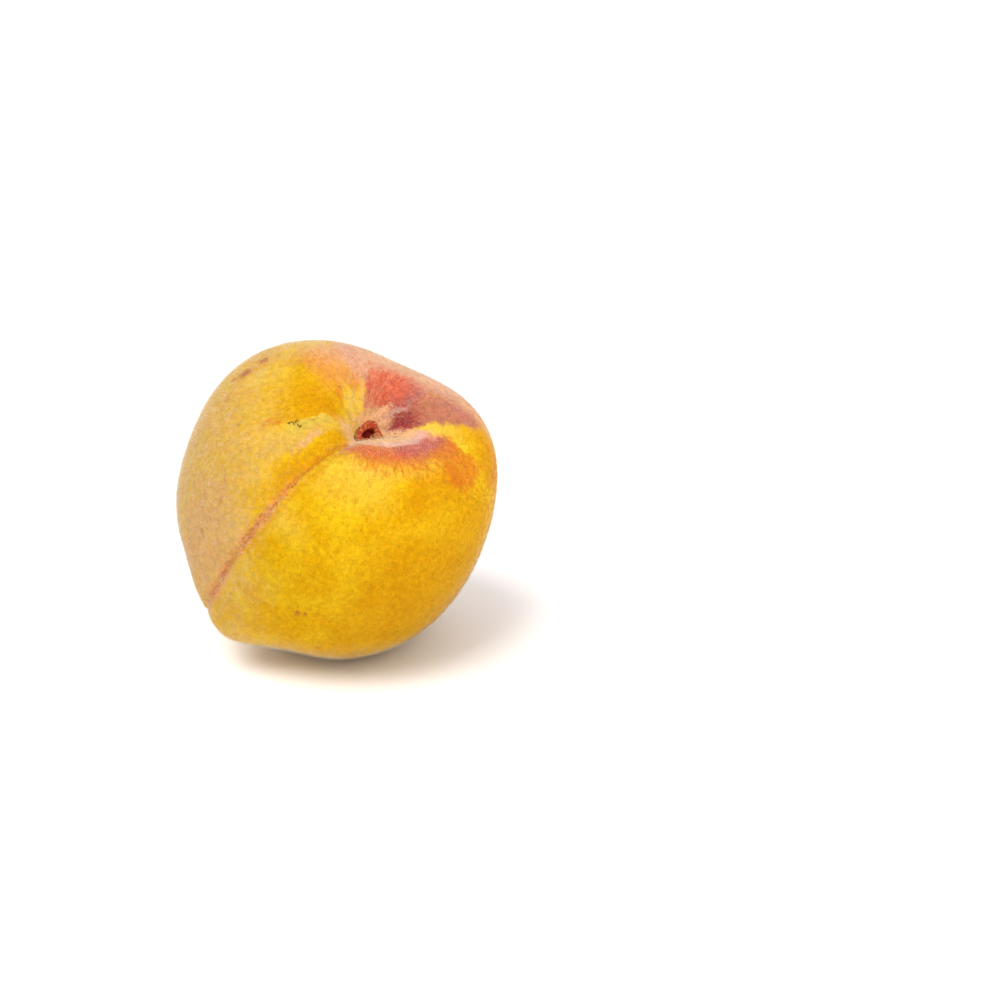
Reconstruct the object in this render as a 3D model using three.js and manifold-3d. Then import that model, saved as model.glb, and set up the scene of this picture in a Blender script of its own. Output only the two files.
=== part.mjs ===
// A ripe yellow-fleshed peach lying on one cheek, its stem end tipped up and towards -Y.
// The skin is one closed surface, radius = f(polar, turn), about the middle of the fruit: the
// stem end is at polar 0, the blossom tip at polar 180, and the suture runs near turn 0.
// What is left of the stem is a torn woody plug, seated in a round socket in the cavity floor.

import * as THREE from 'three';
import { mergeVertices } from 'three/addons/utils/BufferGeometryUtils.js';
import Module from 'manifold-3d';

// ---- driving dimensions: millimetres, and degrees for angles -------------------------------

const CHEEK_RADIUS = 36.6;   // middle of the fruit to the fullest part of a cheek
const STEM_END = 34.0;       // middle to the level of the shoulders, before the cavity
const TIP_END = 36.5;        // middle to the blossom tip
const SQUARENESS = 2.35;     // 2 would be a plain ellipsoid, more fills the shoulders out

const CAVITY_DEPTH = 12.0;   // how far the stem cavity is sunk below the shoulders
const CAVITY_WIDTH = 13.5;   // polar angle where the wall has climbed two thirds of the way
const CAVITY_STEEPNESS = 1.9;

const SUTURE_DEPTH = 1.3;    // the shallow valley that the suture runs in
const SUTURE_HALF_WIDTH = 6.0;
const CREASE_DEPTH = 0.45;   // the fine line along the bottom of that valley
const CREASE_HALF_WIDTH = 1.0;
const SUTURE_FADE = [1.0, 7.0];  // the suture fades in between these distances from the core
const SUTURE_DRIFT = -0.13;  // degrees of turn for each degree of polar angle
const SUTURE_STRAIGHT = 78;  // polar angle where the suture crosses turn 0
const SUTURE_CURL = 18;      // extra turn as it runs into the cavity
const SUTURE_CURL_REACH = 22;
const NOTCH = { polar: 22, depth: 1.5, along: 15, across: 3.0 };  // where it cuts the rim

const REST_HEIGHT = 37.2;    // middle of the fruit above what it lies on
const LEAN = 31.5;           // the core leans this far from upright, towards -Y
const SPIN = -162.3;         // turn of the fruit about its own core

const STEM_RADIUS = 3.3;     // the woody plug, which fits its socket with SEAT_GAP all round
const STEM_AT = { x: -0.6, y: 1.5 };  // it sits a little off the core, close under the near lip
const STEM_FOOT = 22.2;      // its foot and its rim, as heights above the middle of the fruit
const STEM_RIM = 24.4;
const STEM_PIT_RADIUS = 1.05;    // the hole where the strand of the stalk tore out
const STEM_PIT_DEPTH = 1.3;
const SEAT_GAP = 0.3;

const SKIN_COLUMNS = 84;     // facets round the fruit, closest together at the suture
const SKIN_ROWS = 50;        // facets from stem to tip, closest together in the cavity
const COLUMN_CROWDING = 0.78;
const ROW_CROWDING = 0.52;
const ROUND_SIDES = 28;

// Valleys that run out of the cavity: each widens it round one turn.
const VALLEYS = [
  { turn: 0, gain: 0.35, width: 20 },     // along the suture
  { turn: -60, gain: 0.30, width: 24 },
  { turn: -125, gain: 0.35, width: 20 },
  { turn: 127, gain: 0.85, width: 29 },   // the broad one, behind the near lip
];

// Broad swellings and hollows, round in outline.
const LUMPS = [
  { polar: 62, turn: 153, height: 2.4, spread: 24 },    // full far shoulder
  { polar: 50, turn: -158, height: -2.1, spread: 20 },  // flat beside it
  { polar: 66, turn: -90, height: 1.3, spread: 24 },
  { polar: 124, turn: 2, height: 3.9, spread: 15 },     // chin below the suture
  { polar: 121, turn: -31, height: -0.8, spread: 11 },
  { polar: 133, turn: 34, height: -1.2, spread: 16 },
  { polar: 172, turn: 0, height: 1.8, spread: 15 },     // blossom tip
  { polar: 35, turn: 100, height: 0.8, spread: 9 },     // crest of the near lip
  { polar: 30, turn: 178, height: 0.3, spread: 11 },
  { polar: 36, turn: 140, height: -1.2, spread: 9 },
  { polar: 30, turn: -88, height: 0.8, spread: 12 },
  { polar: 36, turn: -50, height: -0.4, spread: 9 },
];

// Narrow folds that climb the cavity wall: half lengths along it and across it.
const FOLDS = [
  { polar: 25, turn: -22, height: -1.0, along: 9, across: 3.2 },
  { polar: 28, turn: -7, height: 0.5, along: 8, across: 3.0 },
  { polar: 19, turn: 174, height: 0.9, along: 9, across: 2.6 },
  { polar: 17, turn: 150, height: -0.6, along: 7, across: 4.0 },
];

// ---- the skin's surface --------------------------------------------------------------------

const rad = THREE.MathUtils.degToRad;
const bell = (x) => Math.exp(-x * x);

/** The smallest angle from one turn to another, in degrees, between -180 and 180. */
const turnBetween = (from, to) => THREE.MathUtils.euclideanModulo(to - from + 180, 360) - 180;

const direction = (polar, turn) =>
  new THREE.Vector3().setFromSphericalCoords(1, rad(polar), rad(turn));

/** The turn at which the suture lies, for a polar angle. */
const sutureTurn = (polar) =>
  SUTURE_DRIFT * (polar - SUTURE_STRAIGHT) + SUTURE_CURL * bell(polar / SUTURE_CURL_REACH);

const lumpCentres = LUMPS.map((lump) => direction(lump.polar, lump.turn));

function skinRadius(polar, turn) {
  const sine = Math.sin(rad(polar));
  const cosine = Math.cos(rad(polar));
  const end = cosine > 0 ? STEM_END : TIP_END;
  let radius = ((sine / CHEEK_RADIUS) ** SQUARENESS
    + (Math.abs(cosine) / end) ** SQUARENESS) ** (-1 / SQUARENESS);

  const widening = VALLEYS.reduce((sum, valley) =>
    sum + valley.gain * bell(turnBetween(valley.turn, turn) / valley.width), 1);
  radius -= CAVITY_DEPTH * Math.exp(-((polar / (CAVITY_WIDTH * widening)) ** CAVITY_STEEPNESS));

  const here = direction(polar, turn);
  LUMPS.forEach((lump, i) => {
    const away = THREE.MathUtils.radToDeg(here.angleTo(lumpCentres[i]));
    radius += lump.height * bell(away / lump.spread);
  });
  for (const fold of FOLDS) {
    const across = turnBetween(fold.turn, turn) * sine;
    radius += fold.height * bell((polar - fold.polar) / fold.along) * bell(across / fold.across);
  }

  const fromSuture = turnBetween(sutureTurn(polar), turn);
  radius -= NOTCH.depth * bell((polar - NOTCH.polar) / NOTCH.along)
    * bell(fromSuture * sine / NOTCH.across);
  const outward = radius * sine * Math.cos(rad(fromSuture));
  const aside = radius * sine * Math.sin(rad(fromSuture));
  radius -= THREE.MathUtils.smoothstep(outward, ...SUTURE_FADE)
    * (SUTURE_DEPTH * bell(aside / SUTURE_HALF_WIDTH) + CREASE_DEPTH * bell(aside / CREASE_HALF_WIDTH));
  return radius;
}

/** A sphere's mesh with its columns drawn to the suture, its rows to the cavity, +Z at the stem. */
function skinGeometry() {
  const skin = new THREE.SphereGeometry(1, SKIN_COLUMNS, SKIN_ROWS);
  const { position, uv } = skin.attributes;
  for (let i = 0; i < position.count; i += 1) {
    const around = 2 * Math.PI * uv.getX(i);
    const down = 1 - uv.getY(i);
    const polar = 180 * down * (1 - ROW_CROWDING * (1 - down));
    const column = THREE.MathUtils.radToDeg(around - COLUMN_CROWDING * Math.sin(around));
    const turn = sutureTurn(polar) + column;
    const radius = skinRadius(polar, turn);
    position.setXYZ(
      i,
      radius * Math.sin(rad(polar)) * Math.cos(rad(turn)),
      radius * Math.sin(rad(polar)) * Math.sin(rad(turn)),
      radius * Math.cos(rad(polar)),
    );
  }
  return skin;
}

// ---- solids --------------------------------------------------------------------------------

const manifold = await Module();
manifold.setup();

/** A closed three.js mesh as a manifold-3d solid. */
function solidFrom(geometry) {
  geometry.deleteAttribute('normal');
  geometry.deleteAttribute('uv');
  const merged = mergeVertices(geometry);
  return new manifold.Manifold(new manifold.Mesh({
    numProp: 3,
    vertProperties: new Float32Array(merged.attributes.position.array),
    triVerts: new Uint32Array(merged.index.array),
  }));
}

function geometryFrom(solid) {
  const { vertProperties, triVerts } = solid.getMesh();
  const geometry = new THREE.BufferGeometry();
  geometry.setAttribute('position', new THREE.BufferAttribute(vertProperties, 3));
  geometry.setIndex(new THREE.BufferAttribute(triVerts, 1));
  geometry.computeVertexNormals();
  return geometry;
}

/** A solid of revolution about the upright line through STEM_AT, from [radius, height] points. */
function turned(profile) {
  const points = profile.map(([radius, height]) => new THREE.Vector2(radius, height));
  const lathe = new THREE.LatheGeometry(points, ROUND_SIDES).rotateX(Math.PI / 2);
  return lathe.translate(STEM_AT.x, STEM_AT.y, 0);
}

const lie = new THREE.Euler(rad(LEAN), 0, rad(SPIN), 'XYZ');

/** What is below the surface that the fruit lies on, turned back into the fruit's own frame. */
function blockBelowRest() {
  const size = 4 * CHEEK_RADIUS;
  const block = new THREE.BoxGeometry(size, size, size);
  block.translate(0, 0, -REST_HEIGHT - size / 2);
  return block.applyMatrix4(new THREE.Matrix4().makeRotationFromEuler(lie).invert());
}

function fruit() {
  const floor = STEM_FOOT - SEAT_GAP;
  const socketRadius = STEM_RADIUS + SEAT_GAP;
  const socket = turned([[0, floor], [socketRadius, floor], [socketRadius, STEM_END], [0, STEM_END]]);
  const solid = solidFrom(skinGeometry())
    .subtract(solidFrom(socket))
    .subtract(solidFrom(blockBelowRest()));
  const mesh = new THREE.Mesh(
    geometryFrom(solid),
    new THREE.MeshStandardMaterial({ color: 0xe9b44a, roughness: 0.8, metalness: 0 }),
  );
  mesh.name = 'fruit';
  return mesh;
}

function stemRemnant() {
  const chamfer = 0.35;
  const pitFloor = STEM_RIM - STEM_PIT_DEPTH;
  const crest = (STEM_RADIUS + STEM_PIT_RADIUS) / 2;
  const profile = [
    [0, STEM_FOOT],
    [STEM_RADIUS - chamfer, STEM_FOOT],
    [STEM_RADIUS, STEM_FOOT + chamfer],
    [STEM_RADIUS, STEM_RIM - 2 * chamfer],
    [crest + chamfer, STEM_RIM],
    [crest, STEM_RIM],
    [STEM_PIT_RADIUS, STEM_RIM - 2 * chamfer],
    [STEM_PIT_RADIUS * 0.7, pitFloor],
    [0, pitFloor],
  ];
  const mesh = new THREE.Mesh(
    turned(profile),
    new THREE.MeshStandardMaterial({ color: 0x7c3a20, roughness: 0.9, metalness: 0 }),
  );
  mesh.name = 'stem_remnant';
  return mesh;
}

// ---- the peach, lying on its rest spot, with the middle of its outline over the origin ------

const peach = new THREE.Group();
peach.add(fruit(), stemRemnant());
peach.rotation.copy(lie);
peach.position.z = REST_HEIGHT;
peach.updateMatrixWorld(true);
const middle = new THREE.Box3().setFromObject(peach, true).getCenter(new THREE.Vector3());
peach.position.x = -middle.x;
peach.position.y = -middle.y;

export default peach;
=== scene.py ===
# %% [markdown]
# # A ripe yellow peach
#
# A peach is one grown body: downy skin over soft flesh, sunk into a cavity where the stalk was and
# marked by the suture, a shallow valley that runs from the stalk to the blossom tip. The only other
# piece is what the stalk left behind, a torn woody plug at the bottom of the cavity.
#
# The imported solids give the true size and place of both. This lesson puts a finer skin over the
# fruit, from the same formula that its solid was made with, then gives it its down, its colours and
# its marks, and rebuilds the plug with its torn fibres.

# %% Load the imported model
import math

import bpy
import numpy as np
from mathutils import Matrix, Vector, noise


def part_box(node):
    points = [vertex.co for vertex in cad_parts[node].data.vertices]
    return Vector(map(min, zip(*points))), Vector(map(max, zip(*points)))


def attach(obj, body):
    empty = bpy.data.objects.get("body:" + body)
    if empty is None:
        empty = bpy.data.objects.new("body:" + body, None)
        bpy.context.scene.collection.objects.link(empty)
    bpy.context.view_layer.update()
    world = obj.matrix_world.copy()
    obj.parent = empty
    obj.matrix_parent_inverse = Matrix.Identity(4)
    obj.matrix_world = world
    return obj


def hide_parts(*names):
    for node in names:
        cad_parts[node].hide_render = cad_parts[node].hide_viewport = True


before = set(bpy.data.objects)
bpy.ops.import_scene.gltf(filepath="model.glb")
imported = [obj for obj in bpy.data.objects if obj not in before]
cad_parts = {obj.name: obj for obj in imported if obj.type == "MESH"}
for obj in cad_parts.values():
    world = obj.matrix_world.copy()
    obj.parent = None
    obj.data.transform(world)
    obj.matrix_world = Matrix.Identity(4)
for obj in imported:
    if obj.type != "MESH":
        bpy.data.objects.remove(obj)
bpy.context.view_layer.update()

MM = 0.001
scene = bpy.context.scene

# %% [markdown]
# ## The form of the fruit
#
# The skin could be sculpted from a sphere, or subdivided from the solid's facets. A formula is
# better here, because it gives a point of skin for every direction from the middle of the fruit, so
# the same place can be asked for again later: by the down that grows there, by a spot of colour, or
# by a crumb that lies on it. Directions are a polar angle from the stem end and a turn about the
# core, both in degrees. The suture lies near turn 0.

# %% Sizes of the fruit, in millimetres and degrees
CHEEK_RADIUS, STEM_END, TIP_END = 36.6, 34.0, 36.5
SQUARENESS = 2.35
CAVITY_DEPTH, CAVITY_WIDTH, CAVITY_STEEPNESS = 12.0, 13.5, 1.9
SUTURE_DEPTH, SUTURE_HALF_WIDTH = 1.3, 6.0
CREASE_DEPTH, CREASE_HALF_WIDTH = 0.45, 1.0
SUTURE_FADE = (1.0, 7.0)
SUTURE_DRIFT, SUTURE_STRAIGHT = -0.13, 78
SUTURE_CURL, SUTURE_CURL_REACH = 18, 22
NOTCH_POLAR, NOTCH_DEPTH, NOTCH_ALONG, NOTCH_ACROSS = 22, 1.5, 15, 3.0

VALLEYS = [  # turn, how much it widens the cavity, width
    (0, 0.35, 20), (-60, 0.30, 24), (-125, 0.35, 20), (127, 0.85, 29),
]
LUMPS = [  # polar, turn, height, spread
    (62, 153, 2.4, 24), (50, -158, -2.1, 20), (66, -90, 1.3, 24), (124, 2, 3.9, 15),
    (121, -31, -0.8, 11), (133, 34, -1.2, 16), (172, 0, 1.8, 15), (35, 100, 0.8, 9),
    (30, 178, 0.3, 11), (36, 140, -1.2, 9), (30, -88, 0.8, 12), (36, -50, -0.4, 9),
]
FOLDS = [  # polar, turn, height, half length along the wall, half width across it
    (25, -22, -1.0, 9, 3.2), (28, -7, 0.5, 8, 3.0), (19, 174, 0.9, 9, 2.6), (17, 150, -0.6, 7, 4.0),
]
print("valleys, lumps and folds:", len(VALLEYS), len(LUMPS), len(FOLDS))

# %% The skin as radius = f(polar, turn)
def bell(x):
    return np.exp(-np.square(x))


def rise(low, high, x):
    """0 below low, 1 above high, and a smooth step between them."""
    t = np.clip((x - low) / (high - low), 0, 1)
    return t * t * (3 - 2 * t)


def between(start, end, x):
    """Rises over the start span and falls over the end span."""
    return rise(*start, x) * (1 - rise(*end, x))


def turn_between(start, end):
    return (end - start + 180) % 360 - 180


def direction(polar, turn):
    """Unit vectors in the fruit's own frame, with +Z out of the stem end."""
    p, t = np.radians(polar), np.radians(turn)
    return np.stack([np.sin(p) * np.cos(t), np.sin(p) * np.sin(t), np.cos(p) + 0 * t], -1)


def suture_turn(polar):
    return SUTURE_DRIFT * (polar - SUTURE_STRAIGHT) + SUTURE_CURL * bell(polar / SUTURE_CURL_REACH)


def main_radius(polar, turn):
    sine, cosine = np.sin(np.radians(polar)), np.cos(np.radians(polar))
    end = np.where(cosine > 0, STEM_END, TIP_END)
    radius = ((sine / CHEEK_RADIUS) ** SQUARENESS
              + (np.abs(cosine) / end) ** SQUARENESS) ** (-1 / SQUARENESS)
    widening = 1 + sum(gain * bell(turn_between(at, turn) / width) for at, gain, width in VALLEYS)
    radius -= CAVITY_DEPTH * np.exp(-(polar / (CAVITY_WIDTH * widening)) ** CAVITY_STEEPNESS)
    here = direction(polar, turn)
    for lump_polar, lump_turn, height, width in LUMPS:
        facing = np.clip(here @ direction(lump_polar, lump_turn), -1, 1)
        radius += height * bell(np.degrees(np.arccos(facing)) / width)
    for fold_polar, fold_turn, height, along, across in FOLDS:
        aside = turn_between(fold_turn, turn) * sine
        radius += height * bell((polar - fold_polar) / along) * bell(aside / across)
    from_suture = turn_between(suture_turn(polar), turn)
    radius -= (NOTCH_DEPTH * bell((polar - NOTCH_POLAR) / NOTCH_ALONG)
               * bell(from_suture * sine / NOTCH_ACROSS))
    outward = radius * sine * np.cos(np.radians(from_suture))
    aside = radius * sine * np.sin(np.radians(from_suture))
    valley = SUTURE_DEPTH * bell(aside / SUTURE_HALF_WIDTH)
    crease = CREASE_DEPTH * bell(aside / CREASE_HALF_WIDTH)
    return radius - rise(*SUTURE_FADE, outward) * (valley + crease)


print("middle to far cheek, mm:", round(float(main_radius(90.0, 180.0)), 1))

# %% [markdown]
# ## Where the fruit lies
#
# The fruit leans over on one cheek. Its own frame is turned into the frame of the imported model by
# the two angles that its solid was laid down with. The height is a known size, and the place on the
# floor follows from the solid's box, so the finer skin lands on the solid without any fitting.

# %% From the fruit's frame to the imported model's
LEAN, SPIN, REST_HEIGHT = 31.5, -162.3, 37.2
LIE = Matrix.Rotation(math.radians(LEAN), 3, "X") @ Matrix.Rotation(math.radians(SPIN), 3, "Z")
LIE = np.array(LIE)

SURVEY_POLAR, SURVEY_TURN = (1, 179, 360), (-180, 180, 721)  # from, to, how many
survey_polar, survey_turn = np.meshgrid(np.linspace(*SURVEY_POLAR), np.linspace(*SURVEY_TURN))
survey = main_radius(survey_polar, survey_turn)[..., None] * direction(survey_polar, survey_turn)
survey = survey.reshape(-1, 3) @ LIE.T
fruit_low, fruit_high = (np.array(corner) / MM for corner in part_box("fruit"))
middle = (fruit_low + fruit_high) / 2 - (survey.min(0) + survey.max(0)) / 2
middle[2] = REST_HEIGHT


def to_model(points):
    """Points in the fruit's frame, in millimetres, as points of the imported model, in metres."""
    return (np.asarray(points) @ LIE.T + middle) * MM


print("middle of the fruit, mm:", middle.round(2))

# %% [markdown]
# ## Fine relief
#
# Real skin is never as even as a formula: it has shallow dimples a few millimetres across, small
# puckers down the cavity wall, a pinched line along the suture, a little scab in one valley and the
# round seat that the plug of the stalk fills. They could be sculpted, or left to a bump texture. But
# they show on the outline and cast small shadows, which bump can't do, so they are added to the
# radius itself. Bump is kept for what is finer than the mesh.

# %% Relief smaller than the main form
DIMPLES = [(11.0, 3, 0.13), (4.2, 4, 0.045), (1.7, 5, 0.018)]  # size, seed, height
PUCKER_COUNT, PUCKER_HEIGHT, PUCKER_WANDER = 19, 0.16, 3.9
PUCKERS_START, PUCKERS_END = (6, 10), (15, 27)  # the polar angles over which they come and go
PINCH_DEPTH, PINCH_HALF_WIDTH, PINCH_UNEVEN = 0.16, 0.38, 0.7
PINCH_START, PINCH_END = (14, 26), (118, 150)
PUCKER_NOISE, PINCH_NOISE, SCAB_NOISE = (6.0, 9), (1.3, 12), (0.8, 15)  # size, seed
PLUG_AT, PLUG_RADIUS, SEAT_DEPTH = (-0.6, 1.5), 3.3, 1.6
SEAT_WALL = (0.78 * PLUG_RADIUS, 0.92 * PLUG_RADIUS)
STEM_SIDE = 60  # skin nearer the stem end than this polar angle can meet the plug
SCAB, SCAB_RADIUS, SCAB_HEIGHT = (32.0, -25.0), 1.1, 0.22
SCAR_DEPTH, SCAR_HALF_WIDTH = 0.07, 0.8  # as shares of a scar's radius
SMALL_SCARS = [  # polar, turn, radius in millimetres, how dark
    (53.0, -72.0, 1.6, 0.9), (48.6, -80.7, 1.35, 0.75), (57.4, -69.8, 0.75, 0.85),
    (56.8, -57.6, 0.85, 0.4), (51.6, -39.1, 0.45, 0.5), (91.7, 29.3, 0.75, 0.6),
    (90.6, 31.8, 0.42, 0.6), (45.0, -86.0, 0.5, 0.35), (71.0, -100.0, 0.6, 0.5),
    (84.0, 150.0, 0.8, 0.5), (68.0, -170.0, 0.6, 0.5), (97.0, 95.0, 0.7, 0.5),
    (103.0, -140.0, 0.9, 0.45), (75.0, 118.0, 0.5, 0.5), (64.0, -20.3, 0.5, 0.3),
    (66.5, -18.6, 0.4, 0.35), (70.5, -16.2, 0.55, 0.4), (72.0, -16.0, 0.4, 0.3),
    (80.0, -16.2, 0.5, 0.35), (82.0, -16.8, 0.4, 0.3), (88.0, -17.8, 0.6, 0.35),
    (116.7, -5.0, 0.35, 0.9),
]


def noise_field(points, size, seed):
    """Smooth noise from about -1 to 1, with features of that size in millimetres."""
    shift = Vector((seed, 2.3 * seed, 5.1 * seed))
    return np.array([noise.noise(Vector(p) / size + shift) for p in points.tolist()])


def noise_sum(points, fields):
    """Several noise fields added up. Each has a size, a seed and a height or share."""
    return sum(share * noise_field(points, size, seed) for size, seed, share in fields)


def arc_mm(polar, turn, at_polar, at_turn, radius):
    """Distance over the skin from one place on it, in millimetres."""
    facing = np.clip(direction(polar, turn) @ direction(at_polar, at_turn), -1, 1)
    return np.arccos(facing) * radius


def suture_mm(polar, turn, radius):
    """Distance across the skin from the suture: positive on the near cheek's side."""
    return np.radians(turn_between(suture_turn(polar), turn)) * np.sin(np.radians(polar)) * radius


def off_plug(points):
    """Distance from the upright line through the middle of the stalk's plug."""
    return np.hypot(points[..., 0] - PLUG_AT[0], points[..., 1] - PLUG_AT[1])


def skin_radius(polar, turn):
    """The main form with all its relief. Takes flat arrays of polar angles and turns."""
    radius = main_radius(polar, turn)
    here = radius[:, None] * direction(polar, turn)
    radius += noise_sum(here, DIMPLES)
    phase = PUCKER_COUNT * np.radians(turn) + PUCKER_WANDER * noise_field(here, *PUCKER_NOISE)
    radius += PUCKER_HEIGHT * between(PUCKERS_START, PUCKERS_END, polar) * np.sin(phase)
    pinched = bell(suture_mm(polar, turn, radius) / PINCH_HALF_WIDTH)
    uneven = 1 + PINCH_UNEVEN * noise_field(here, *PINCH_NOISE)
    radius -= PINCH_DEPTH * between(PINCH_START, PINCH_END, polar) * uneven * pinched
    on_scab = bell(arc_mm(polar, turn, *SCAB, radius) / SCAB_RADIUS)
    radius += SCAB_HEIGHT * on_scab * noise_field(here, *SCAB_NOISE)
    for at_polar, at_turn, size, _ in SMALL_SCARS:
        away = arc_mm(polar, turn, at_polar, at_turn, radius)
        radius -= SCAR_DEPTH * size * bell(away / (SCAR_HALF_WIDTH * size))
    in_seat = 1 - rise(*SEAT_WALL, off_plug(here))
    return radius - SEAT_DEPTH * in_seat * (polar < STEM_SIDE)


print("small scars:", len(SMALL_SCARS))

# %% [markdown]
# ## The skin's mesh
#
# A closed grid of rows and columns wraps the fruit, with its columns drawn to the suture and its
# rows to the cavity, where the form is tightest. The lowest skin is pressed flat by the fruit's own
# weight: a point that would pass through the floor is drawn back along its own radius, and a soft
# minimum rounds the rim of the flat spot.

# %% Lay out the grid
COLUMNS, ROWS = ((420, 232))
COLUMN_CROWDING, ROW_CROWDING = 0.62, 0.40
PRESS_SOFTNESS = 0.12
STEEPEST = 0.05  # rows that face up or aside count as facing down by this much


def pressed(polar, turn, radius):
    """The radius, cut off softly where the skin meets the floor."""
    down = -(direction(polar, turn) @ LIE.T)[..., 2]
    floor = REST_HEIGHT / np.maximum(down, STEEPEST)
    return floor - PRESS_SOFTNESS * np.logaddexp(0, (floor - radius) / PRESS_SOFTNESS)


def closed_grid(rings, columns):
    """Quads and end triangles over one point, then rings of points, then one last point."""
    i, j = np.meshgrid(np.arange(rings - 1), np.arange(columns), indexing="ij")
    upper, lower, beside = 1 + i * columns, 1 + (i + 1) * columns, (j + 1) % columns
    quads = np.stack([upper + j, lower + j, lower + beside, upper + beside], -1).reshape(-1, 4)
    ring = np.arange(columns)
    beside, bottom, end = (ring + 1) % columns, 1 + (rings - 1) * columns, 1 + rings * columns
    caps = np.concatenate([
        np.stack([0 * ring, 1 + ring, 1 + beside], -1),
        np.stack([bottom + ring, end + 0 * ring, bottom + beside], -1)])
    return quads, caps


down_share = np.arange(1, ROWS) / ROWS
column_angle = np.radians(360) * np.arange(COLUMNS) / COLUMNS
row_polar, column_turn = np.meshgrid(
    180 * down_share * (1 - ROW_CROWDING * (1 - down_share)),
    np.degrees(column_angle - COLUMN_CROWDING * np.sin(column_angle)), indexing="ij")
polar = np.concatenate([[0], row_polar.ravel(), [180]])
turn = np.concatenate([[0], (suture_turn(row_polar) + column_turn).ravel(), [0]])
radius = pressed(polar, turn, skin_radius(polar, turn))
place = radius[:, None] * direction(polar, turn)
quads, caps = closed_grid(ROWS - 1, COLUMNS)
print("skin:", len(place), "points,", 2 * len(quads) + len(caps), "triangles")

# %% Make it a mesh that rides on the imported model
def new_piece(name, points_mm, faces):
    """A smooth-shaded mesh from points in the fruit's frame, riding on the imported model's root."""
    mesh = bpy.data.meshes.new(name)
    mesh.from_pydata(to_model(points_mm), [], faces)
    mesh.shade_smooth()
    piece = bpy.data.objects.new(name, mesh)
    scene.collection.objects.link(piece)
    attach(piece, "root")
    return piece


def keep(piece, name, values):
    """Keeps one number, or one vector, for each point of a piece."""
    kind = "FLOAT_VECTOR" if values.ndim == 2 else "FLOAT"
    field = piece.data.attributes.new(name, kind, "POINT")
    field.data.foreach_set("vector" if values.ndim == 2 else "value", values.ravel())


def chart(piece, spots):
    """A chart for baking: where each corner of each face lies on it, 0 to 1."""
    piece.data.uv_layers.new(name="OFBake").data.foreach_set("uv", spots.ravel())


skin = new_piece("fruit_skin", place, quads.tolist() + caps.tolist())
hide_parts("fruit")
keep(skin, "place", place)

# %% Compare it with the solid
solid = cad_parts["fruit"].data
corners = np.empty(3 * len(solid.vertices))
solid.vertices.foreach_get("co", corners)
corners = (corners.reshape(-1, 3) / MM - middle) @ LIE
corner_polar = np.degrees(np.arccos(corners[:, 2] / np.linalg.norm(corners, axis=1)))
corner_turn = np.degrees(np.arctan2(corners[:, 1], corners[:, 0]))
BESIDE_SEAT = 14  # the solid has its plug's seat within this polar angle
compared = corner_polar > BESIDE_SEAT
apart = np.abs(np.linalg.norm(corners, axis=1) - pressed(
    corner_polar, corner_turn, skin_radius(corner_polar, corner_turn)))[compared]
print("skin to solid, mm: mean", round(float(apart.mean()), 3), "most", round(float(apart.max()), 3))

# %% [markdown]
# ## Where each colour lies
#
# Blush, unripe green, pale tissue round the stalk and a paler, duller side are each a soft-edged
# part of the skin, between two polar angles and two turns. The paler side is partly tan down and
# partly a painted sheen, where the down is seen at a slant towards the left outline. They could be
# painted by hand on an image, but numbers on the mesh keep them editable, and they stay sharp at any
# size. Their edges are bent by noise first, so that none of them looks drawn with a ruler. The
# material will break them up into speckles later.

# %% Soft-edged patches
def window(low, high, soft_low, soft_high, x):
    """1 from low to high and 0 outside, with each edge softened to both sides by its own width."""
    return between((low - soft_low, low + soft_low), (high - soft_high, high + soft_high), x)


def patch(polar_span, turn_span, polar_soft, turn_soft):
    """1 inside a part of the skin and 0 outside it, with a soft edge of its own on each side."""
    centre, half = sum(turn_span) / 2, (turn_span[1] - turn_span[0]) / 2
    aside = turn_between(centre, bent_turn)
    return window(*polar_span, *polar_soft, bent_polar) * window(-half, half, *turn_soft, aside)


def laid(name):
    """All the patches of one colour, each with its share."""
    return sum(share * patch(*edges) for share, *edges in PATCHES[name])


def together(*masks):
    """Several masks as one, 0 to 1."""
    return np.clip(sum(masks), 0, 1)


def tell(**masks):
    """Prints the mean of each mask over the skin's points."""
    print({name: round(float(mask.mean()), 3) for name, mask in masks.items()})


SWAY_DOWN = [(7.0, 21, 1), (2.6, 22, 0.5)]  # size, seed, share
SWAY_ROUND = [(7.0, 23, 1), (2.6, 24, 0.5), (1.1, 26, 0.5)]
SWAY_IN_CAVITY, SWAY_OUTSIDE, TURN_SWAY, LEAST_SINE = 0.9, 1.8, 2.6, 0.35
sway = SWAY_IN_CAVITY + (SWAY_OUTSIDE - SWAY_IN_CAVITY) * rise(20, 40, polar)
bent_polar = polar + sway * noise_sum(place, SWAY_DOWN)
turn_sway = TURN_SWAY / np.maximum(np.sin(np.radians(polar)), LEAST_SINE)
bent_turn = turn + turn_sway * noise_sum(place, SWAY_ROUND)
print("edges bent by up to", round(float(np.abs(bent_polar - polar).max()), 1), "degrees")

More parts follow.
